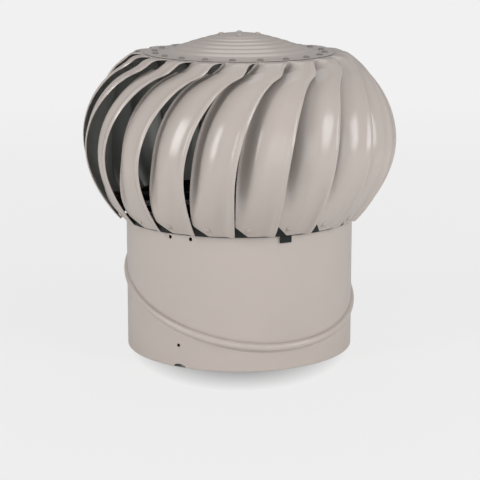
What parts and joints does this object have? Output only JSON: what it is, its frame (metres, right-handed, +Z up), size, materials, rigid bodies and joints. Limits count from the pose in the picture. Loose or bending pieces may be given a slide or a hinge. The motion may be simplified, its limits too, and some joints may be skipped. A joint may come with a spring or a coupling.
{
  "type": "roof turbine ventilator",
  "caption": "Wind-driven roof ventilator: a round head of overlapping curved blades spins on a fixed spindle above a duct collar split by a slanted swivel.",
  "frame": {"origin": "centre of the throat's bottom edge, where it stands or goes over the roof flashing", "axes": "+Z up the spindle, -Y to the front, +X to the right seen from the front"},
  "size_m": [0.4144, 0.4144, 0.4166],
  "materials": {
    "painted_sheet": "satin warm grey-beige baked paint on thin sheet steel",
    "painted_rivet": "satin painted domed rivets",
    "black_steel": "matt black paint",
    "zinc_steel": "zinc plated, dull",
    "bright_steel": "ground bearing steel"
  },
  "bodies": {
    "throat_base": {"lower_throat": "painted_sheet"},
    "throat_top": {"upper_throat": "painted_sheet", "lower_bracket": "zinc_steel", "upper_bracket": "zinc_steel", "bracket_rivets": "zinc_steel", "spindle": "bright_steel", "spindle_nuts": "zinc_steel", "spindle_washers": "zinc_steel", "spindle_collars": "zinc_steel", "bearing_inner_races": "bright_steel"},
    "turbine_head": {"bearing_outer_races": "bright_steel", "bearing_balls": "bright_steel", "bearing_cup": "zinc_steel", "cup_rivets": "painted_rivet", "cap": "painted_sheet", "cap_rivets": "painted_rivet", "base_ring": "black_steel", "ring_clip": "black_steel", "blade_rivets": "painted_rivet", "lower_hub": "zinc_steel", "hub_rivets": "zinc_steel", "spider_arm_1": "black_steel", "spider_arm_2": "black_steel", "spider_arm_3": "black_steel", "spider_arm_4": "black_steel", "blade_01": "painted_sheet", "blade_02": "painted_sheet", "blade_03": "painted_sheet", "blade_04": "painted_sheet", "blade_05": "painted_sheet", "blade_06": "painted_sheet", "blade_07": "painted_sheet", "blade_08": "painted_sheet", "blade_09": "painted_sheet", "blade_10": "painted_sheet", "blade_11": "painted_sheet", "blade_12": "painted_sheet", "blade_13": "painted_sheet", "blade_14": "painted_sheet", "blade_15": "painted_sheet", "blade_16": "painted_sheet", "blade_17": "painted_sheet", "blade_18": "painted_sheet", "blade_19": "painted_sheet", "blade_20": "painted_sheet"}
  },
  "joints": [
    {"name": "pitch_swivel", "type": "hinge", "parent": "throat_base", "child": "throat_top", "pos_m": [0, 0, 0.0899], "axis": [0.1336, -0.3148, 0.9397], "range_deg": [0, 180]},
    {"name": "head_spin", "type": "hinge", "parent": "throat_top", "child": "turbine_head", "pos_m": [0, 0, 0.2], "axis": [0, 0, 1], "continuous": true}
  ]
}
